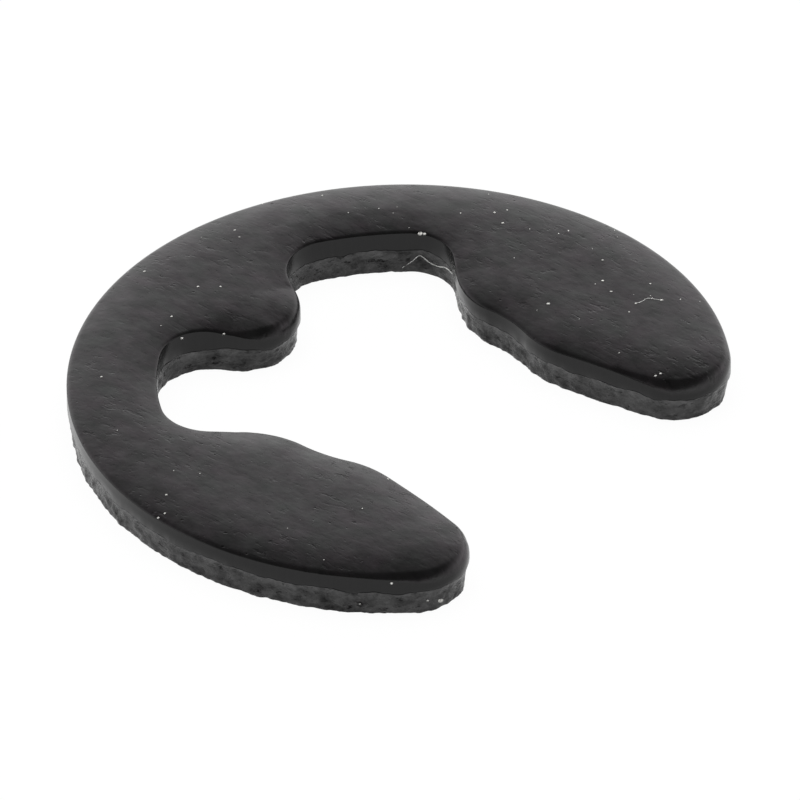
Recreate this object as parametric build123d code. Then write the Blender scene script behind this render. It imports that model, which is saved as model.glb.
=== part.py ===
"""Retaining e clip, pressed from spring steel strip, for a 3.2 mm shaft groove.

The clip lies flat with its burr side on Z = 0 and its die side up. The shaft axis is the Z axis.
The mouth that is pushed over the shaft opens towards -Y, and the centre prong points at it from +Y.
"""

from build123d import *
import os
from math import acos, atan2, cos, degrees, radians, sin
from typing import NamedTuple

# Sizes of the clip while relaxed, in millimetres.
outer_radius = 3.65
seat_radius = 1.6  # circle in the groove that the two jaws and the centre prong close on
recess_radius = 2.66  # floor of the two spring recesses
sheet_thickness = 0.6

# Corner rounds, in the order met along the inner edge from the centre prong to an arm's tip.
prong_nose_round = 0.58
recess_inner_round = 0.53
recess_outer_round = 0.52
jaw_shoulder_round = 0.95
jaw_lip_round = 1.13
arm_tip_round = 0.61

# Turns about the shaft axis, each from the round before to the next one.
prong_flank_degrees = 30.6  # from the centre line to the recess's inner round
recess_floor_degrees = 21.5
jaw_flank_degrees = 36.0
jaw_seat_degrees = 20.9
arm_flank_degrees = 23.4

# Section of the pressed edge: rolled over at the top, sheared smooth, then torn and leaning in.
roll_width = 0.26
roll_depth = 0.1
torn_height = 0.28
torn_inset = 0.05

# Drawing choices, which leave the clip's size as it is.
roll_sections = 5
touching_gap = 1e-6


class Bend(NamedTuple):
    """A circle that the edge follows. The turn is 1 for an outside corner and -1 for an inside one."""

    center: Vector
    radius: float
    turn: int


def polar(radius, angle):
    """Point at a radius from the shaft axis and an angle in degrees, clockwise from +Y."""
    return Vector(radius * sin(radians(angle)), radius * cos(radians(angle)))


def right_hand_bends():
    """Bends from the centre prong's nose to the outer edge, on the +X side."""
    shaft_axis = Vector(0, 0)
    recess_inner = prong_flank_degrees
    recess_outer = recess_inner + recess_floor_degrees
    jaw_shoulder = recess_outer + jaw_flank_degrees
    jaw_lip = jaw_shoulder + jaw_seat_degrees
    arm_tip = jaw_lip + arm_flank_degrees
    return [
        Bend(polar(seat_radius + prong_nose_round, 0), prong_nose_round, 1),
        Bend(polar(recess_radius - recess_inner_round, recess_inner), recess_inner_round, -1),
        Bend(shaft_axis, recess_radius, -1),
        Bend(polar(recess_radius - recess_outer_round, recess_outer), recess_outer_round, -1),
        Bend(polar(seat_radius + jaw_shoulder_round, jaw_shoulder), jaw_shoulder_round, 1),
        Bend(shaft_axis, seat_radius, -1),
        Bend(polar(seat_radius + jaw_lip_round, jaw_lip), jaw_lip_round, 1),
        Bend(polar(outer_radius - arm_tip_round, arm_tip), arm_tip_round, 1),
        Bend(shaft_axis, outer_radius, 1),
    ]


def all_bends():
    """The closed ring of bends: the right-hand side and its mirror image, walked back."""
    right = right_hand_bends()
    left = [Bend(Vector(-b.center.X, b.center.Y), b.radius, b.turn) for b in right[-2:0:-1]]
    return right + left


def shared_tangent(first, second):
    """Where the edge leaves the first bend and joins the second, on the line that touches both."""
    way = second.center - first.center
    offset = second.turn * second.radius - first.turn * first.radius
    lean = acos(max(-1, min(1, offset / way.length)))
    normal_angle = atan2(way.Y, way.X) + lean
    normal = Vector(cos(normal_angle), sin(normal_angle))
    leaves = first.center - normal * (first.turn * first.radius)
    joins = second.center - normal * (second.turn * second.radius)
    return leaves, joins


def edge_arc(bend, start, end):
    """The stretch of a bend from one tangent point to the next."""
    start_angle = degrees(atan2(start.Y - bend.center.Y, start.X - bend.center.X))
    end_angle = degrees(atan2(end.Y - bend.center.Y, end.X - bend.center.X))
    sweep = (end_angle - start_angle) * bend.turn % 360 * bend.turn
    return CenterArc(bend.center, bend.radius, start_angle, sweep)


def outline(inset, height):
    """Face of the clip's plan at a height, drawn in by an inset all round."""
    bends = [b._replace(radius=b.radius - b.turn * inset) for b in all_bends()]
    tangents = [shared_tangent(a, b) for a, b in zip(bends, bends[1:] + bends[:1])]
    edges = []
    for index, bend in enumerate(bends):
        arrives = tangents[index - 1][1]
        leaves, joins = tangents[index]
        edges.append(edge_arc(bend, arrives, leaves))
        if (joins - leaves).length > touching_gap:
            edges.append(Line(leaves, joins))
    return Pos(0, 0, height) * make_face(edges)


def rolled_edge():
    """Top layer, where the die has drawn the surface down: upright at the wall, level at the face."""
    roll_base = sheet_thickness - roll_depth
    sections = []
    for index in range(roll_sections):
        share = index / (roll_sections - 1)
        rise = share * (2 - share)
        sections.append(outline(roll_width * share**2, roll_base + roll_depth * rise))
    return loft(sections)


def e_clip():
    """The clip as one solid: torn zone, sheared band and rolled edge."""
    sheared_height = sheet_thickness - roll_depth - torn_height
    torn_zone = loft([outline(torn_inset, 0), outline(0, torn_height)], ruled=True)
    sheared_band = extrude(outline(0, torn_height), sheared_height)
    return torn_zone + sheared_band + rolled_edge()


os.makedirs("parts", exist_ok=True)
clip = e_clip()
clip.label = "e_clip"
export_step(clip, "parts/e_clip.step")
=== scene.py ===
from math import acos, cos, pi, radians, sin

import bpy
import numpy as np
from mathutils import Matrix, Vector


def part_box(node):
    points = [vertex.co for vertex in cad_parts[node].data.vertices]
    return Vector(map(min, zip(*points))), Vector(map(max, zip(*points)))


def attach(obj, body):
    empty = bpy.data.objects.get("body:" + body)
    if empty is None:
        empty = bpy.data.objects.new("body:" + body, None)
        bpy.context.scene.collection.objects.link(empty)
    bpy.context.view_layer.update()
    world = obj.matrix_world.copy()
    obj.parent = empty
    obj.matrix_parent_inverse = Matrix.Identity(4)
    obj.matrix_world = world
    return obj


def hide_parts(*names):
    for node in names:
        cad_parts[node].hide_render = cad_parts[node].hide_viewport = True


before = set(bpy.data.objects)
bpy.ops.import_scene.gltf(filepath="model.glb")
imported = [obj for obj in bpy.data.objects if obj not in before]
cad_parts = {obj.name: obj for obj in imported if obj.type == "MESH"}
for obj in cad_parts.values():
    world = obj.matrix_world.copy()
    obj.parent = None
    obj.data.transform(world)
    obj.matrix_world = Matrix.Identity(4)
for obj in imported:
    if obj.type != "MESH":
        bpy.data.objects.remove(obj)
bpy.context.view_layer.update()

# ------------------------------------------------------------------------------------------------
# The clip's plan
# The clip is punched from spring steel strip in one stroke. Its edge is a closed chain of round
# bends joined by short straight flanks: the centre prong, two recesses, two jaws and two arms.

MM = 0.001
clip_low, clip_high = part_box("e_clip")
outer_radius = clip_high.y
sheet_thickness = clip_high.z - clip_low.z
seat_radius = 1.6 * MM
recess_radius = 2.66 * MM
prong_nose_round = 0.58 * MM
recess_inner_round = 0.53 * MM
recess_outer_round = 0.52 * MM
jaw_shoulder_round = 0.95 * MM
jaw_lip_round = 1.13 * MM
arm_tip_round = 0.61 * MM

# Degrees from the centre line to the middle of each round.
recess_inner_angle = 30.6
recess_outer_angle = 52.1
jaw_shoulder_angle = 88.1
jaw_lip_angle = 109.0
arm_tip_angle = 132.4

# The bends along the right-hand edge, from the centre prong to the back of the clip: how far out
# the middle lies, its angle, the radius, and whether it is an outside corner or an inside one.
OUTSIDE, INSIDE = 1, -1
right_bends = [
    (seat_radius + prong_nose_round, 0, prong_nose_round, OUTSIDE),
    (recess_radius - recess_inner_round, recess_inner_angle, recess_inner_round, INSIDE),
    (0, 0, recess_radius, INSIDE),
    (recess_radius - recess_outer_round, recess_outer_angle, recess_outer_round, INSIDE),
    (seat_radius + jaw_shoulder_round, jaw_shoulder_angle, jaw_shoulder_round, OUTSIDE),
    (0, 0, seat_radius, INSIDE),
    (seat_radius + jaw_lip_round, jaw_lip_angle, jaw_lip_round, OUTSIDE),
    (outer_radius - arm_tip_round, arm_tip_angle, arm_tip_round, OUTSIDE),
    (0, 0, outer_radius, OUTSIDE),
]

edge_step = 0.004 * MM
station_count = 860
turn_reach = 0.9 * MM
turn_samples = 12


def ring_of_bends():
    """Middle, radius and turn of each bend. The left-hand side is the right one's mirror image."""
    right = [
        (np.array([out * sin(radians(angle)), out * cos(radians(angle))]), radius, turn)
        for out, angle, radius, turn in right_bends
    ]
    left = [(middle * [-1, 1], radius, turn) for middle, radius, turn in right[-2:0:-1]]
    return right + left


def shared_facing(first, second):
    """Direction into the metal on the line that touches two neighbouring bends."""
    way = second[0] - first[0]
    lean = (second[2] * second[1] - first[2] * first[1]) / np.hypot(*way)
    return np.arctan2(way[1], way[0]) + acos(max(-1, min(1, lean)))


def on_bend(bend, facing):
    """Points of a bend where the metal lies in the given directions."""
    middle, radius, turn = bend
    return middle - turn * radius * np.column_stack([np.cos(facing), np.sin(facing)])


def edge_path():
    """Points round the edge with the metal on the left, and the direction into it at each."""
    bends = ring_of_bends()
    facings = [shared_facing(a, b) for a, b in zip(bends, bends[1:] + bends[:1])]
    points, directions = [], []
    facing = facings[-1]
    for index, bend in enumerate(bends):
        _, radius, turn = bend
        sweep = (facings[index] - facing) * turn % (2 * pi) * turn
        arc_steps = max(2, round(abs(sweep) * radius / edge_step))
        share = np.linspace(0, 1, arc_steps, endpoint=False)
        points.append(on_bend(bend, facing + sweep * share))
        directions.append(facing + sweep * share)
        facing += sweep
        leaves = on_bend(bend, np.array([facing]))
        joins = on_bend(bends[(index + 1) % len(bends)], np.array([facing]))
        flank_steps = round(np.hypot(*(joins - leaves)[0]) / edge_step)
        if flank_steps:
            share = np.linspace(0, 1, flank_steps, endpoint=False)[:, None]
            points.append(leaves + share * (joins - leaves))
            directions.append(np.full(flank_steps, facing))
    return np.concatenate(points), np.concatenate(directions)


def turn_nearby(run, lap, direction):
    """How far the edge turns close to each point: above 0 on the tips, below 0 in the recesses."""
    laps = np.concatenate([run - lap, run, run + lap])
    facings = np.concatenate([direction - 2 * pi, direction, direction + 2 * pi])
    spans = np.linspace(0, turn_reach, turn_samples + 1)[1:]
    ahead = [np.interp(run + span, laps, facings) for span in spans]
    behind = [np.interp(run - span, laps, facings) for span in spans]
    return np.mean(ahead, axis=0) - np.mean(behind, axis=0)


def edge_stations():
    """Place, direction into the metal and turn at the stations, one row for each of them.

    Rays from the shaft axis cross the metal once. So the edge is cut at the two outermost rays
    into an inner and an outer run, and stations are set where the same rays meet both.
    """
    points, direction = edge_path()
    first = np.argmin(np.arctan2(points[:, 0], points[:, 1]))
    points = np.roll(points, -first, axis=0)
    direction = np.concatenate([direction[first:], direction[:first] + 2 * pi])
    run = np.concatenate([[0], np.cumsum(np.hypot(*np.diff(points, axis=0).T))])
    lap = run[-1] + np.hypot(*(points[0] - points[-1]))
    turned = turn_nearby(run, lap, direction)
    ray = np.arctan2(points[:, 0], points[:, 1])
    last = np.argmax(ray)
    inner = slice(0, last + 1)
    outer = np.r_[0, len(ray) - 1 : last - 1 : -1]

    # The stations are spread by the longer of the two ways that a ray moves along the runs.
    rays = np.unique(np.concatenate([ray[inner], ray[outer]]))
    steps = [np.abs(np.diff(np.interp(rays, ray[side], run[side]))) for side in (inner, outer[1:])]
    spread = np.concatenate([[0], np.cumsum(np.maximum(*steps))])
    stations = np.interp(np.linspace(0, spread[-1], station_count), spread, rays)
    columns = [points[:, 0], points[:, 1], np.cos(direction), np.sin(direction), turned]
    out, back = (
        np.column_stack([np.interp(stations, ray[side], column[side]) for column in columns])
        for side in (inner, outer)
    )
    return np.concatenate([out, back[-2:0:-1]])


def clip_plan():
    """The edge as a closed line, out along the inner run and back along the outer one."""
    stations = edge_stations()
    count = len(stations)
    level = np.zeros(count)
    places = np.column_stack([stations[:, :2], level])
    plan = bpy.data.meshes.new("clip_plan")
    plan.from_pydata(places.tolist(), [(i, (i + 1) % count) for i in range(count)], [])
    facing = plan.attributes.new("facing", "FLOAT_VECTOR", "POINT")
    facing.data.foreach_set("vector", np.column_stack([stations[:, 2:4], level]).ravel())
    turn = plan.attributes.new("turn", "FLOAT", "POINT")
    turn.data.foreach_set("value", stations[:, 4])
    return plan


# ------------------------------------------------------------------------------------------------
# The clip's pressed section
# The die draws the upper edge down, the punch then shears a smooth band, and the last of the sheet
# tears. The section is carried round the plan, deeper on the tips and shallower in the recesses.

# The face lies a hair below the strip's full thickness, which leaves room for the dust on it.
dust_room = 0.006 * MM
section = {
    "Thickness": sheet_thickness - dust_room,
    "Torn height": 0.31 * MM,
    "Torn inset": 0.006 * MM,
    "Torn corner inset": 0.045 * MM,
    "Torn wave": 0.19 * MM,
    "Torn wave length": 0.34 * MM,
    "Torn roughness": 0.09 * MM,
    "Torn grain": 0.15 * MM,
    "Roll depth": 0.079 * MM,
    "Roll depth lost in recesses": 0.057 * MM,
    "Roll width": 0.85 * MM,
    "Roll width lost in recesses": 0.35 * MM,
    "Lip depth": 0.015 * MM,
    "Lip depth gained on tips": 0.19 * MM,
    "Lip width": 0.04 * MM,
    "Lip width gained on tips": 0.07 * MM,
    "Ring width": 0.22 * MM,
    "Nose overlap": 0.04 * MM,
    "Weld distance": 0.0002 * MM,
    "Torn rows": 14,
    "Sheared rows": 4,
    "Roll rows": 12,
    "Web rows": 28,
    "Base rows": 5,
    "Seed": 7.0,
}

# How sharply the section's curves bend, as powers and factors.
ring_crowding = 1.6
band_crowding = 3.0
roll_fall = 3.0
tear_hold = 5.0
tear_bias = 0.25
corner_gain = 0.81
wall_fade = 6.0


class Term:
    """A value in a node tree. Arithmetic on terms adds Math nodes to the tree."""

    def __init__(self, tree, socket):
        self.tree, self.socket = tree, socket

    def math(self, operation, *others):
        made = self.tree.nodes.new("ShaderNodeMath")
        made.operation = operation
        for slot, value in zip(made.inputs, (self, *others)):
            feed(self.tree, slot, value)
        return Term(self.tree, made.outputs[0])

    def __add__(self, other):
        return self.math("ADD", other)

    def __sub__(self, other):
        return self.math("SUBTRACT", other)

    def __mul__(self, other):
        return self.math("MULTIPLY", other)

    def __truediv__(self, other):
        return self.math("DIVIDE", other)

    def __pow__(self, other):
        return self.math("POWER", other)

    def clamped(self):
        return self.math("MAXIMUM", 0.0).math("MINIMUM", 1.0)

    def rest(self):
        """What is left of one."""
        return self * -1.0 + 1.0

    def blend(self, low, high):
        """low where this term is 0, and high where it is 1."""
        made = self.tree.nodes.new("ShaderNodeMix")
        for slot, value in zip((made.inputs[0], made.inputs[2], made.inputs[3]), (self, low, high)):
            feed(self.tree, slot, value)
        return Term(self.tree, made.outputs[0])


def feed(tree, slot, value):
    """Links a term to a node's input, or sets the input's own value."""
    if isinstance(value, Term):
        tree.links.new(value.socket, slot)
    else:
        slot.default_value = value


def place(tree, kind, inputs=None, **settings):
    """Adds a node, with its settings and inputs given by name."""
    made = tree.nodes.new(kind)
    for name, value in settings.items():
        setattr(made, name, value)
    for name, value in (inputs or {}).items():
        feed(tree, made.inputs[name], value)
    return made


def term(made, name=0):
    """What a node gives, from its first output or from the one with this name."""
    return Term(made.id_data, made.outputs[name])


def axis_of(vector, name):
    """A vector's X, Y or Z."""
    return term(place(vector.tree, "ShaderNodeSeparateXYZ", {"Vector": vector}), name)


def point_at(x, y, z):
    """The vector with these X, Y and Z, of which X at least is a term."""
    return term(place(x.tree, "ShaderNodeCombineXYZ", {"X": x, "Y": y, "Z": z}))


def carried(tree, name, kind="FLOAT"):
    """What each corner of a mesh or line carries under this name."""
    return term(place(tree, "GeometryNodeInputNamedAttribute", {"Name": name}, data_type=kind))


def marked(geometry, name, value):
    """A geometry whose corners carry a number under this name."""
    inputs = {"Geometry": geometry, "Name": name, "Value": value}
    settings = {"data_type": "FLOAT", "domain": "POINT"}
    return term(place(geometry.tree, "GeometryNodeStoreNamedAttribute", inputs, **settings))


def moved(geometry, **to):
    """A geometry put at a new Position, or shifted by an Offset."""
    return term(place(geometry.tree, "GeometryNodeSetPosition", {"Geometry": geometry, **to}))


def new_tree(name, inputs):
    """A Geometry Nodes tree with these named inputs, and the terms that they give."""
    tree = bpy.data.node_groups.new(name, "GeometryNodeTree")
    kinds = {
        float: "NodeSocketFloat",
        int: "NodeSocketInt",
        bpy.types.Material: "NodeSocketMaterial",
    }
    tree.interface.new_socket("Geometry", in_out="INPUT", socket_type="NodeSocketGeometry")
    tree.interface.new_socket("Geometry", in_out="OUTPUT", socket_type="NodeSocketGeometry")
    for label, value in inputs.items():
        kind = kinds.get(type(value), "NodeSocketObject")
        tree.interface.new_socket(label, in_out="INPUT", socket_type=kind)
    entry = tree.nodes.new("NodeGroupInput")
    return tree, {name: term(entry, name) for name in ["Geometry", *inputs]}


def finish_tree(tree, geometry, material):
    """Ends a tree with real geometry, smooth shading and a material."""
    real = place(tree, "GeometryNodeRealizeInstances", {"Geometry": geometry})
    smooth = place(tree, "GeometryNodeSetShadeSmooth", {"Geometry": term(real)})
    finish = {"Geometry": term(smooth), "Material": material}
    painted = place(tree, "GeometryNodeSetMaterial", finish)
    leave = tree.nodes.new("NodeGroupOutput")
    tree.links.new(painted.outputs[0], leave.inputs[0])


def grown(name, mesh, tree, inputs):
    """The plain mesh that a tree makes from a mesh with these inputs."""
    seed = bpy.data.objects.new(name + "_seed", mesh)
    bpy.context.scene.collection.objects.link(seed)
    modifier = seed.modifiers.new(name, "NODES")
    modifier.node_group = tree
    sockets = {s.name: s.identifier for s in tree.interface.items_tree if s.in_out == "INPUT"}
    for label, value in inputs.items():
        modifier[sockets[label]] = value
    evaluated = seed.evaluated_get(bpy.context.evaluated_depsgraph_get())
    made = bpy.data.objects.new(name, bpy.data.meshes.new_from_object(evaluated))
    made.data.name = name
    bpy.context.scene.collection.objects.link(made)
    bpy.data.objects.remove(seed)
    return made


def at_corner(line, corner, value, kind):
    """What a value is at one corner of a line."""
    inputs = {"Geometry": line, "Value": value, "Index": corner}
    return term(place(line.tree, "GeometryNodeSampleIndex", inputs, data_type=kind))


def turn_at(line, corner):
    """How far the edge turns near one corner of a line."""
    return at_corner(line, corner, carried(line.tree, "turn"), "FLOAT")


def flat_at(line, corner, value):
    """The X and Y of a vector at one corner of a line."""
    there = at_corner(line, corner, value, "FLOAT_VECTOR")
    return axis_of(there, "X"), axis_of(there, "Y")


def corner_share(turn):
    """From -1 in a tight recess to 1 on a tight tip."""
    return (turn * corner_gain).math("TANH")


def runs_of_edge(given, per_row):
    """Which corners of the plan are on the inner run's two halves and on the outer run.

    The inner run is split on the prong's nose, so that the roll rounds over the prong's middle.
    """
    tree = per_row.tree
    corner = term(place(tree, "GeometryNodeInputIndex"))
    sideways = axis_of(term(place(tree, "GeometryNodeInputPosition")), "X")
    inner_run = corner.math("LESS_THAN", per_row)
    outer_run = corner.math("GREATER_THAN", per_row - 1.5) + corner.math("LESS_THAN", 0.5)
    left_half = sideways.math("LESS_THAN", given["Nose overlap"])
    right_half = sideways.math("GREATER_THAN", given["Nose overlap"] * -1.0)
    return inner_run * left_half, inner_run * right_half, outer_run


def drawn_beside(given, run, flat):
    """How far the die draws the face down beside one run: a broad roll, and a lip at its rim."""
    tree = flat.tree
    part = {"Geometry": given["Geometry"], "Selection": run}
    line = term(place(tree, "GeometryNodeSeparateGeometry", part))
    search = {"Geometry": line, "Sample Position": flat}
    gap = term(place(tree, "GeometryNodeProximity", search, target_element="EDGES"), "Distance")

    # The turn is read on a line cut ten times finer, so that it changes evenly over the face.
    curve = term(place(tree, "GeometryNodeMeshToCurve", {"Mesh": line}))
    cut = term(place(tree, "GeometryNodeSubdivideCurve", {"Curve": curve, "Cuts": 9}))
    fine = term(place(tree, "GeometryNodeCurveToMesh", {"Curve": cut}))
    fine_search = {"Geometry": fine, "Sample Position": flat}
    nearest = term(place(tree, "GeometryNodeSampleNearest", fine_search))
    share = corner_share(turn_at(fine, nearest))
    tip = share.clamped()
    nook = (share * -1.0).clamped()

    depth = given["Roll depth"] - given["Roll depth lost in recesses"] * nook
    width = given["Roll width"] - given["Roll width lost in recesses"] * nook
    lip_depth = given["Lip depth"] + given["Lip depth gained on tips"] * tip**2.0
    lip_width = given["Lip width"] + given["Lip width gained on tips"] * tip
    near_rim = (gap / width).clamped().rest()
    near_lip = (gap / lip_width).clamped().rest()
    quarter_round = (near_lip**2.0).rest().math("SQRT").rest()
    return depth * near_rim**roll_fall, lip_depth * quarter_round


def strongest(terms):
    """The largest of three terms, with a round change from one to the next."""
    first, second, third = (each**4.0 for each in terms)
    return (first + second + third) ** 0.25


def wandering(given, length, point, detail, shift):
    """Noise between -0.5 and 0.5 whose waves are as long as one of the tree's inputs."""
    inputs = {
        "Vector": point,
        "Scale": given[length].math("MAXIMUM", 1e-6) ** -1.0,
        "Detail": detail,
        "W": given["Seed"] + shift,
    }
    return term(place(point.tree, "ShaderNodeTexNoise", inputs, noise_dimensions="4D")) - 0.5


def section_tree(material):
    """Carries the pressed section round the plan."""
    tree, given = new_tree("pressed_section", {**section, "Material": material})
    plan = given["Geometry"]

    # A grid with a column for each station, whose rows go up the inner wall, across the web, down
    # the outer wall and back under the clip.
    corners = term(place(tree, "GeometryNodeAttributeDomainSize", {"Geometry": plan}))
    wall_rows = given["Torn rows"] + given["Sheared rows"] + given["Roll rows"]
    far_row = wall_rows * 2.0 + given["Web rows"]
    per_row = corners * 0.5 + 1.0
    cells = {"Vertices X": far_row + given["Base rows"] + 1.0, "Vertices Y": per_row}
    grid = term(place(tree, "GeometryNodeMeshGrid", cells))
    index = term(place(tree, "GeometryNodeInputIndex"))
    row = (index / per_row + 0.5 / 1000).math("FLOOR")
    station = index - row * per_row
    opposite = (corners - station).math("FLOORED_MODULO", corners)

    # Shares that go from 0 to 1: up the torn zone, the sheared band and the roll, and across.
    up = row.math("MINIMUM", far_row - row).math("MAXIMUM", 0.0).math("MINIMUM", wall_rows)
    above_tear = up - given["Torn rows"]
    torn = (up / given["Torn rows"]).clamped()
    sheared = (above_tear / given["Sheared rows"]).clamped()
    rolled = ((above_tear - given["Sheared rows"]) / given["Roll rows"]).clamped()
    across = ((row - wall_rows) / given["Web rows"]).clamped()
    across = across * ((row - far_row) / given["Base rows"]).clamped().rest()

    # Where each corner of the grid lies in plan. The torn zone leans in, most of all on the tips.
    near_turn, far_turn = turn_at(plan, station), turn_at(plan, opposite)
    own_tip = corner_share(across.blend(near_turn, far_turn)).math("MAXIMUM", 0.0)
    torn_inset = given["Torn inset"] + given["Torn corner inset"] * own_tip
    inset = torn.rest() * torn_inset + given["Ring width"] * (rolled**ring_crowding)
    here = term(place(tree, "GeometryNodeInputPosition"))
    inward = carried(tree, "facing", "FLOAT_VECTOR")
    near, far = flat_at(plan, station, here), flat_at(plan, opposite, here)
    near_in, far_in = flat_at(plan, station, inward), flat_at(plan, opposite, inward)
    x = across.blend(near[0] + near_in[0] * inset, far[0] + far_in[0] * inset)
    y = across.blend(near[1] + near_in[1] * inset, far[1] + far_in[1] * inset)
    in_x, in_y = across.blend(near_in[0], far_in[0]), across.blend(near_in[1], far_in[1])
    flat = point_at(x, y, 0.0)

    # The tear starts at a wandering height, and leaves the wall ragged down to the burr.
    rolls, lips = zip(*(drawn_beside(given, run, flat) for run in runs_of_edge(given, per_row)))
    drawn = strongest(rolls) + strongest(lips)
    wave = wandering(given, "Torn wave length", flat, 6.0, 0.0)
    torn_top = given["Torn height"] + given["Torn wave"] * wave
    up_band = (sheared.rest() ** band_crowding).rest()
    z = torn_top * torn + (given["Thickness"] - drawn - torn_top) * up_band
    grain = wandering(given, "Torn grain", point_at(x, y, z), 4.0, 10.0)
    ragged = (grain + tear_bias).math("MAXIMUM", 0.0) * (torn**tear_hold).rest()
    x = x + in_x * ragged * given["Torn roughness"]
    y = y + in_y * ragged * given["Torn roughness"]
    shaped = moved(grid, Position=point_at(x, y, z))

    # The steel reads how far up the torn zone a corner lies, and whether it is on the wall.
    shaped = marked(shaped, "tear", torn)
    shaped = marked(shaped, "wall", (rolled * wall_fade).clamped().rest())
    seams = {"Geometry": shaped, "Distance": given["Weld distance"]}
    closed = term(place(tree, "GeometryNodeMergeByDistance", seams))
    outward = term(place(tree, "GeometryNodeFlipFaces", {"Mesh": closed}))
    finish_tree(tree, outward, given["Material"])
    return tree


# ------------------------------------------------------------------------------------------------
# The clip's steel
# The strip is dark hardened spring steel with a thin black finish. Its faces keep the fine dashes
# of the rolling mill along the strip, and the torn zone is craggy and a little paler.

face_level, face_roughness = 0.0405, 0.3
# The sheared band's level is darker than the face's, in part as painted shade for the dimmer
# reflection that the walls show.
sheared_level_and_shade, sheared_roughness = 0.0285, 0.25
torn_level, torn_roughness = 0.053, 0.15


def base_material(name):
    """A new material with its tree and its shader."""
    material = bpy.data.materials.new(name)
    material.use_nodes = True
    tree = material.node_tree
    return material, tree, tree.nodes["Principled BSDF"]


def spots(tree, spans, seed, detail=2.0, roughness=0.5):
    """Noise whose spots are this many millimetres long along X, Y and Z."""
    scale = {
        "Vector": term(place(tree, "ShaderNodeTexCoord"), "Object"),
        "Location": (seed, seed * 1.7, seed * 2.3),
        "Scale": [1 / (span * MM) for span in spans],
    }
    scaled = term(place(tree, "ShaderNodeMapping", scale))
    noise = {"Vector": scaled, "Scale": 1.0, "Detail": detail, "Roughness": roughness}
    return term(place(tree, "ShaderNodeTexNoise", noise))


def band(value, start, end):
    """Rises smoothly from 0 to 1 as a term goes from start to end."""
    limits = {"Value": value, "From Min": start, "From Max": end}
    return term(place(value.tree, "ShaderNodeMapRange", limits, interpolation_type="SMOOTHSTEP"))


def tinted(level, tint):
    """A grey level as a colour, tinted by a term for each channel or by plain numbers."""
    channels = {name: level * share for name, share in zip(("Red", "Green", "Blue"), tint)}
    return term(place(level.tree, "ShaderNodeCombineColor", channels))


def bumped(tree, shell, height):
    """Gives a shader the normals of a height in millimetres."""
    bump = place(tree, "ShaderNodeBump", {"Height": height, "Distance": MM, "Strength": 1.0})
    tree.links.new(bump.outputs[0], shell.inputs["Normal"])


def rolled_face(tree):
    """Pecks and scratches along the strip in patches, a fine skin and soft clouds."""
    patches = band(spots(tree, (0.45, 0.6, 0.5), 11.0), 0.46, 0.66)
    pecks = band(spots(tree, (0.055, 0.14, 0.1), 3.0, 3.0, 0.6), 0.54, 0.68)
    pecks = pecks * (patches * 0.8 + 0.2)
    scratches = band(spots(tree, (0.018, 0.25, 0.1), 5.0, 1.0), 0.62, 0.74) * patches
    long_patches = band(spots(tree, (0.5, 0.9, 0.5), 13.0), 0.52, 0.66)
    long_scratches = band(spots(tree, (0.035, 1.1, 0.1), 7.0, 1.0), 0.6, 0.7) * long_patches
    skin = spots(tree, (0.05, 0.085, 0.06), 17.0, 3.0) - 0.5
    clouds = spots(tree, (0.16, 0.26, 0.2), 23.0, 3.0) - 0.5
    pits = band(spots(tree, (0.06, 0.1, 0.08), 29.0, 1.0), 0.74, 0.8)
    shade = skin * 0.3 + clouds * 1.0 - pecks * 0.2 - scratches * 0.08 - pits * 0.5 + 1.02
    shade = shade - long_scratches * 0.05
    height = skin * 0.0014 + clouds * 0.005 - pecks * 0.0022 - scratches * 0.0003 - pits * 0.003
    height = height - long_scratches * 0.0005
    return shade * face_level, skin * 0.15 + face_roughness, height


def sheared_band(tree):
    """Fine drag marks up the wall, on a level that is darker than the face's, in part as painted
    shade.
    """
    drag = spots(tree, (0.03, 0.03, 0.6), 31.0) - 0.5
    shade = drag * 0.14 + 1.0
    return shade * sheared_level_and_shade, sheared_roughness, drag * 0.0002


def torn_zone(tree, tear):
    """Crags and dark crack lines, a painted shadow, under a pale lip, a painted highlight, where
    the tear began.
    """
    crags = spots(tree, (0.2, 0.2, 0.12), 37.0, 5.0, 0.7)
    grit = spots(tree, (0.05, 0.05, 0.035), 59.0, 2.0) - 0.5
    broad_crags = spots(tree, (0.7, 0.7, 0.5), 47.0, 1.0)
    # Painted shadow: the crack lines darken the colour as well as dent the bump.
    shadowed_cracks = band(spots(tree, (0.2, 0.2, 0.1), 41.0, 4.0, 0.6), 0.4, 0.3)
    # Painted highlight: a paler band along the top of the torn zone, with no relief of its own.
    ridge_highlight = band(tear, 0.55, 0.9) * band(spots(tree, (0.12, 0.12, 0.2), 53.0, 3.0), 0.36, 0.56)
    shade = (crags - 0.5) * 2.9 + (broad_crags - 0.5) * 0.9 - shadowed_cracks * 0.5 + ridge_highlight * 0.5 + 0.92
    shade = shade + grit * 0.8
    return shade * torn_level, torn_roughness, crags * 0.03 + grit * 0.006 - shadowed_cracks * 0.01


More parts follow.
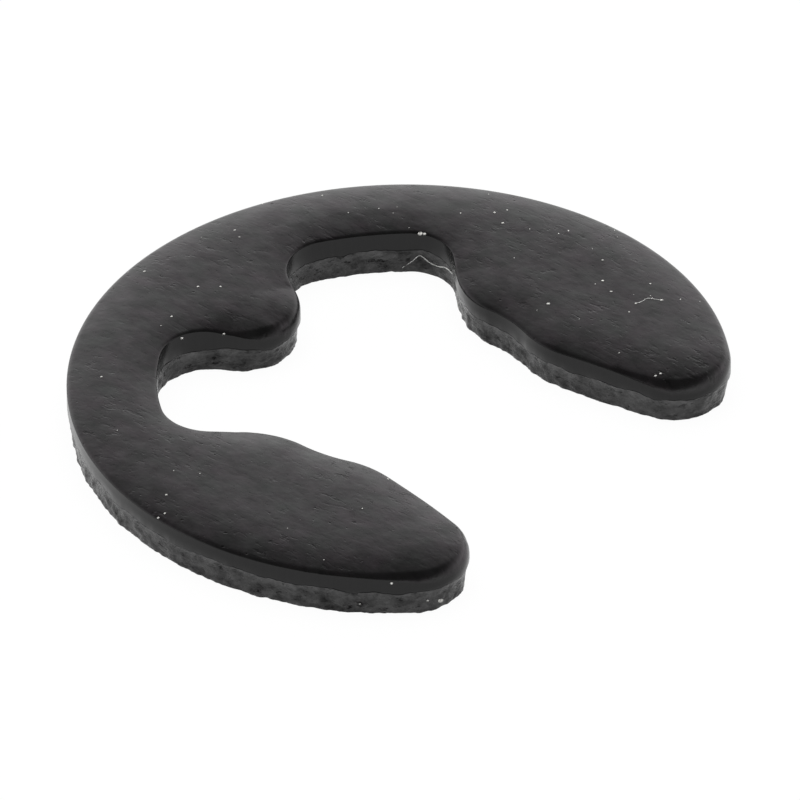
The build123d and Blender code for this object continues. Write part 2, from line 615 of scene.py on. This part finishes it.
def dark_spring_steel():
    """Black steel with a faint purple tint that comes and goes on the faces."""
    steel, tree, shell = base_material("dark_spring_steel")
    tear = term(place(tree, "ShaderNodeAttribute", attribute_name="tear"), "Fac")
    wall = term(place(tree, "ShaderNodeAttribute", attribute_name="wall"), "Fac")
    torn = band(tear, 1.0, 0.94)
    zones = zip(rolled_face(tree), sheared_band(tree), torn_zone(tree, tear))
    level, roughness, height = (
        torn.blend(wall.blend(face, sheared), broken) for face, sheared, broken in zones
    )
    hue = spots(tree, (0.25, 0.35, 0.3), 43.0) - 0.5
    warm = wall.rest() * (hue * 0.22 + 0.03)
    tint = (warm + 1.0, warm * -0.4 + 0.995, warm * 0.5 + 1.0)
    feed(tree, shell.inputs["Base Color"], tinted(level, tint))
    feed(tree, shell.inputs["Roughness"], roughness)
    bumped(tree, shell, height)
    shell.inputs["Metallic"].default_value = 1.0
    return steel


steel = dark_spring_steel()
clip = grown("clip", clip_plan(), section_tree(steel), {**section, "Material": steel})
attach(clip, "root")
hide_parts("e_clip")

# ------------------------------------------------------------------------------------------------
# The dust
# Pale specks of packing dust lie on the oily finish, most of them on the right arm. The largest
# ones cling to the walls and to the edges of the faces.

dust = {
    "Density": 1.3e6,
    "Right arm density": 4.5e6,
    "Smallest": 0.005 * MM,
    "Largest": 0.013 * MM,
    "Lump size": 0.012 * MM,
    "Lump height": 0.006 * MM,
    "Ceiling": clip_high.z - 0.0002 * MM,
    "Seed": 4,
}
level_enough = 0.9
speck_length, speck_width, speck_height = 1.2, 0.85, 0.7

# Where the larger specks lie and how wide they are, in millimetres.
large_specks = [
    ((-2.44, -2.62, 0.1), 0.06),
    ((-2.6, -2.55, 0.14), 0.025),
    ((-2.86, -2.26, 0.44), 0.025),
    ((-3.07, -1.97, 0.12), 0.02),
    ((2.17, 1.52, 0.55), 0.045),
    ((2.2, 1.48, 0.54), 0.03),
    ((-0.93, 2.34, 0.51), 0.03),
    ((-0.58, 2.03, 0.51), 0.022),
    ((0.74, 2.24, 0.4), 0.032),
    ((-3.6, 0.4, 0.5), 0.026),
    ((-3.3, 0.55, 0.6), 0.022),
    ((-2.1, 2.5, 0.6), 0.024),
    ((0.83, 3.0, 0.6), 0.02),
    ((2.0, -0.45, 0.6), 0.034),
    ((2.6, -1.2, 0.6), 0.024),
    ((2.83, -1.38, 0.6), 0.028),
    ((3.0, -0.4, 0.6), 0.022),
    ((2.7, -0.65, 0.6), 0.026),
    ((2.6, -0.85, 0.6), 0.022),
    ((2.95, 1.1, 0.6), 0.024),
    ((2.85, 0.9, 0.6), 0.026),
    ((1.8, -2.2, 0.6), 0.022),
]


def surface_of(given):
    """The finished clip, and the point of its surface that lies nearest."""
    tree = given["Clip"].tree
    surface = term(place(tree, "GeometryNodeObjectInfo", {"Object": given["Clip"]}), "Geometry")
    touch = place(tree, "GeometryNodeProximity", {"Geometry": surface}, target_element="FACES")
    return surface, term(touch, "Position")


def speck_points(given, surface, position, normal, luck):
    """The larger specks' points, together with those scattered over the clip's face."""
    tree = surface.tree
    to_right = axis_of(position, "X") / outer_radius
    density = to_right.clamped().blend(given["Density"], given["Right arm density"])
    on_face = axis_of(normal, "Z").math("GREATER_THAN", level_enough)
    scatter = {"Mesh": surface, "Density": density * on_face, "Seed": given["Seed"]}
    scattered = term(place(tree, "GeometryNodeDistributePointsOnFaces", scatter))
    sized = marked(scattered, "size", (luck**2.0).blend(given["Smallest"], given["Largest"]))
    by_hand = term(place(tree, "GeometryNodeMeshToPoints", {"Mesh": given["Geometry"]}))
    together = tree.nodes.new("GeometryNodeJoinGeometry")
    tree.links.new(by_hand.socket, together.inputs[0])
    tree.links.new(sized.socket, together.inputs[0])
    return term(together)


def lumpy(given, grains, position):
    """Grains with an uneven outside that keeps within the sheet's thickness."""
    tree = grains.tree
    texture = {"Vector": position, "Scale": given["Lump size"] ** -1.0, "Detail": 1.0}
    lumps = term(place(tree, "ShaderNodeTexNoise", texture), "Color")
    centred = place(tree, "ShaderNodeVectorMath", {"Vector": lumps}, operation="SUBTRACT")
    centred.inputs[1].default_value = (0.5, 0.5, 0.5)
    swelling = {"Vector": term(centred), "Scale": given["Lump height"]}
    offset = term(place(tree, "ShaderNodeVectorMath", swelling, operation="SCALE"))
    swollen = moved(grains, Offset=offset)
    height = axis_of(position, "Z").math("MINIMUM", given["Ceiling"]).math("MAXIMUM", 0.0)
    kept = point_at(axis_of(position, "X"), axis_of(position, "Y"), height)
    return moved(swollen, Position=kept)


def dust_tree(material):
    """Scatters specks on the clip's face, adds the larger ones, and settles both on its surface."""
    tree, given = new_tree("dust", {**dust, "Clip": clip, "Material": material})
    surface, nearest = surface_of(given)
    position = term(place(tree, "GeometryNodeInputPosition"))
    normal = term(place(tree, "GeometryNodeInputNormal"))
    luck = Term(tree, place(tree, "FunctionNodeRandomValue", data_type="FLOAT").outputs[1])
    settled = moved(speck_points(given, surface, position, normal, luck), Position=nearest)

    kind = "FLOAT_VECTOR"
    facing = {"Mesh": surface, "Value": normal}
    beneath = term(place(tree, "GeometryNodeSampleNearestSurface", facing, data_type=kind))
    lean = {"Vector": beneath}
    upward = term(place(tree, "FunctionNodeAlignRotationToVector", lean, axis="Z"))
    turns = term(place(tree, "ShaderNodeCombineXYZ", {"Z": luck * 2 * pi}))
    spin = {"Rotation": upward, "Rotate By": turns}
    spun = term(place(tree, "FunctionNodeRotateRotation", spin, rotation_space="LOCAL"))
    ball = place(tree, "GeometryNodeMeshIcoSphere", {"Radius": 1.0, "Subdivisions": 3})
    size = carried(tree, "size")
    grain = {
        "Points": settled,
        "Instance": term(ball),
        "Rotation": spun,
        "Scale": point_at(size * speck_length, size * speck_width, size * speck_height),
    }
    grains = term(place(tree, "GeometryNodeInstanceOnPoints", grain))
    real = term(place(tree, "GeometryNodeRealizeInstances", {"Geometry": grains}))
    finish_tree(tree, lumpy(given, real, position), given["Material"])
    return tree


def pale_dust():
    """Matt dust, paler and darker from grain to grain."""
    lint, tree, shell = base_material("pale_dust")
    shade = (spots(tree, (0.03, 0.03, 0.03), 51.0) * 1.5 - 0.2).clamped()
    feed(tree, shell.inputs["Base Color"], tinted(shade, (1.0, 0.99, 0.95)))
    shell.inputs["Roughness"].default_value = 0.9
    return lint


specks = bpy.data.meshes.new("large_specks")
specks.from_pydata([[axis * MM for axis in spot] for spot, _ in large_specks], [], [])
size = specks.attributes.new("size", "FLOAT", "POINT")
size.data.foreach_set("value", [width / 2 * MM for _, width in large_specks])
lint = pale_dust()
dust_specks = grown(
    "dust_specks", specks, dust_tree(lint), {**dust, "Clip": clip, "Material": lint}
)
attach(dust_specks, "root")

# ------------------------------------------------------------------------------------------------
# The fibres
# A fine white fibre hangs on the torn wall of the right recess, and a thinner one lies on the arm.
# Both are lint that the oily finish holds.

fibre = {"Radius": 0.005 * MM, "Points per span": 8}

# The way of each fibre in millimetres, and its share of the full thickness at each point.
fibres = [
    (
        (2.05, 1.68, 0.06),
        (2.13, 1.6, 0.16),
        (2.17, 1.53, 0.23),
        (2.2, 1.42, 0.16),
        (2.21, 1.3, 0.17),
        (2.19, 1.18, 0.22),
        (2.13, 1.04, 0.24),
    ),
    ((2.6, -1.2, 0.6), (2.68, -1.23, 0.6), (2.76, -1.24, 0.6), (2.83, -1.38, 0.6)),
]
fibre_thickness = [0.5, 0.7, 0.7, 1.2, 1.2, 1.1, 1.0, 0.4, 0.4, 0.3, 0.4]


def fibre_tree(material):
    """Lays each line on the clip's surface and gives it a round section."""
    tree, given = new_tree("fibre", {**fibre, "Clip": clip, "Material": material})
    _, nearest = surface_of(given)
    line = term(place(tree, "GeometryNodeMeshToCurve", {"Mesh": given["Geometry"]}))
    laid = {"Curve": moved(line, Position=nearest)}
    bent = term(place(tree, "GeometryNodeCurveSplineType", laid, spline_type="CATMULL_ROM"))
    spans = {"Geometry": bent, "Resolution": given["Points per span"]}
    ring = {"Radius": 1.0, "Resolution": 8}
    tube = {
        "Curve": term(place(tree, "GeometryNodeSetSplineResolution", spans)),
        "Profile Curve": term(place(tree, "GeometryNodeCurvePrimitiveCircle", ring)),
        "Scale": carried(tree, "share") * given["Radius"],
        "Fill Caps": True,
    }
    finish_tree(tree, term(place(tree, "GeometryNodeCurveToMesh", tube)), given["Material"])
    return tree


def fibre_lines():
    """The ways as lines, each point with its share of the thickness."""
    lines = bpy.data.meshes.new("fibre_lines")
    way = [[axis * MM for axis in point] for line in fibres for point in line]
    ends = np.cumsum([len(line) for line in fibres]) - 1
    joints = [(i, i + 1) for i in range(len(way) - 1) if i not in ends]
    lines.from_pydata(way, joints, [])
    share = lines.attributes.new("share", "FLOAT", "POINT")
    share.data.foreach_set("value", fibre_thickness)
    return lines


white, _, shell = base_material("white_fibre")
shell.inputs["Base Color"].default_value = (0.85, 0.85, 0.83, 1)
shell.inputs["Roughness"].default_value = 0.6
dust_fibres = grown(
    "dust_fibres", fibre_lines(), fibre_tree(white), {**fibre, "Clip": clip, "Material": white}
)
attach(dust_fibres, "root")

# ------------------------------------------------------------------------------------------------
# The table
# The clip lies burr side down on a plain white table of matt paint. The table glows where the
# camera or the steel sees it, and keeps a faint shadow round the clip.

table_half = 1.0
table_color = (0.8, 0.8, 0.8, 1)
seen_glow, mirrored_glow = 0.96, 0.55
white_light = (1, 1, 1, 1)


def white_table():
    """Matt white paint, mixed with a glow for what the camera and the steel see of it."""
    paint, tree, shell = base_material("white_table")
    shell.inputs["Base Color"].default_value = table_color
    shell.inputs["Roughness"].default_value = 0.9
    path = tree.nodes.new("ShaderNodeLightPath")
    mirrored = term(path, "Is Glossy Ray") + term(path, "Is Transmission Ray")
    glow_share = term(path, "Is Camera Ray") * seen_glow + mirrored * mirrored_glow
    glow = place(tree, "ShaderNodeEmission", {"Color": white_light, "Strength": 1.0})
    mixed = place(tree, "ShaderNodeMixShader", {"Fac": glow_share})
    tree.links.new(shell.outputs[0], mixed.inputs[1])
    tree.links.new(glow.outputs[0], mixed.inputs[2])
    tree.links.new(mixed.outputs[0], tree.nodes["Material Output"].inputs["Surface"])
    return paint


sides = ((-1, -1), (1, -1), (1, 1), (-1, 1))
floor_mesh = bpy.data.meshes.new("floor")
floor_mesh.from_pydata([(x * table_half, y * table_half, 0) for x, y in sides], [], [(0, 1, 2, 3)])
floor_mesh.materials.append(white_table())
floor = bpy.data.objects.new("floor", floor_mesh)
bpy.context.scene.collection.objects.link(floor)

# ------------------------------------------------------------------------------------------------
# The light and the camera
# A pale room lights the clip, dim round a hood above the camera's side and bright low down behind,
# where the face mirrors it. A round softbox hangs over the clip, and the steel doesn't mirror it.

camera_azimuth, camera_elevation, camera_roll = radians(-49.68), radians(36.27), radians(-0.9)
camera_distance = 213.1 * MM
camera_target = Vector((-0.4036, -0.3351, 0.6)) * MM
hood_elevation = radians(62)
bright_from, dim_from = -0.25, 0.75
room_bright, room_dim = 1.75, 0.17


def direction_of(azimuth, elevation):
    """Unit vector from the clip toward what stands at these angles."""
    level = cos(elevation)
    return Vector((sin(azimuth) * level, -cos(azimuth) * level, sin(elevation)))


world = bpy.data.worlds.new("studio")
bpy.context.scene.world = world
world.use_nodes = True
tree = world.node_tree
ray = {"Vector": term(place(tree, "ShaderNodeTexCoord"), "Generated")}
toward_hood = place(tree, "ShaderNodeVectorMath", ray, operation="DOT_PRODUCT")
toward_hood.inputs[1].default_value = direction_of(camera_azimuth, hood_elevation)
room = {
    "Value": term(toward_hood, "Value"),
    "From Min": bright_from,
    "From Max": dim_from,
    "To Min": room_bright,
    "To Max": room_dim,
}
room_light = term(place(tree, "ShaderNodeMapRange", room, interpolation_type="SMOOTHSTEP"))
seen = term(tree.nodes.new("ShaderNodeLightPath"), "Is Camera Ray")
feed(tree, tree.nodes["Background"].inputs["Strength"], seen.blend(room_light, 1.0))
tree.nodes["Background"].inputs["Color"].default_value = white_light

lamp_data = bpy.data.lights.new("softbox", "AREA")
lamp_data.shape = "DISK"
lamp_data.size = 0.3
lamp_data.energy = 0.9
lamp = bpy.data.objects.new("softbox", lamp_data)
lamp.location = (0.02, 0.03, 0.25)
lamp.visible_glossy = False
bpy.context.scene.collection.objects.link(lamp)

camera_data = bpy.data.cameras.new("camera")
camera_data.sensor_width = 36
camera_data.lens = 880.0
camera_data.clip_start = 0.01
camera_data.clip_end = 10
camera = bpy.data.objects.new("camera", camera_data)
bpy.context.scene.collection.objects.link(camera)
bpy.context.scene.camera = camera
away = direction_of(camera_azimuth, camera_elevation)
level_right = (-away).cross(Vector((0, 0, 1))).normalized()
level_up = level_right.cross(-away)
right = cos(camera_roll) * level_right + sin(camera_roll) * level_up
up = cos(camera_roll) * level_up - sin(camera_roll) * level_right
turned = Matrix((right, up, away)).transposed().to_4x4()
camera.matrix_world = Matrix.Translation(camera_target + away * camera_distance) @ turned

bpy.context.scene.view_settings.view_transform = "Standard"
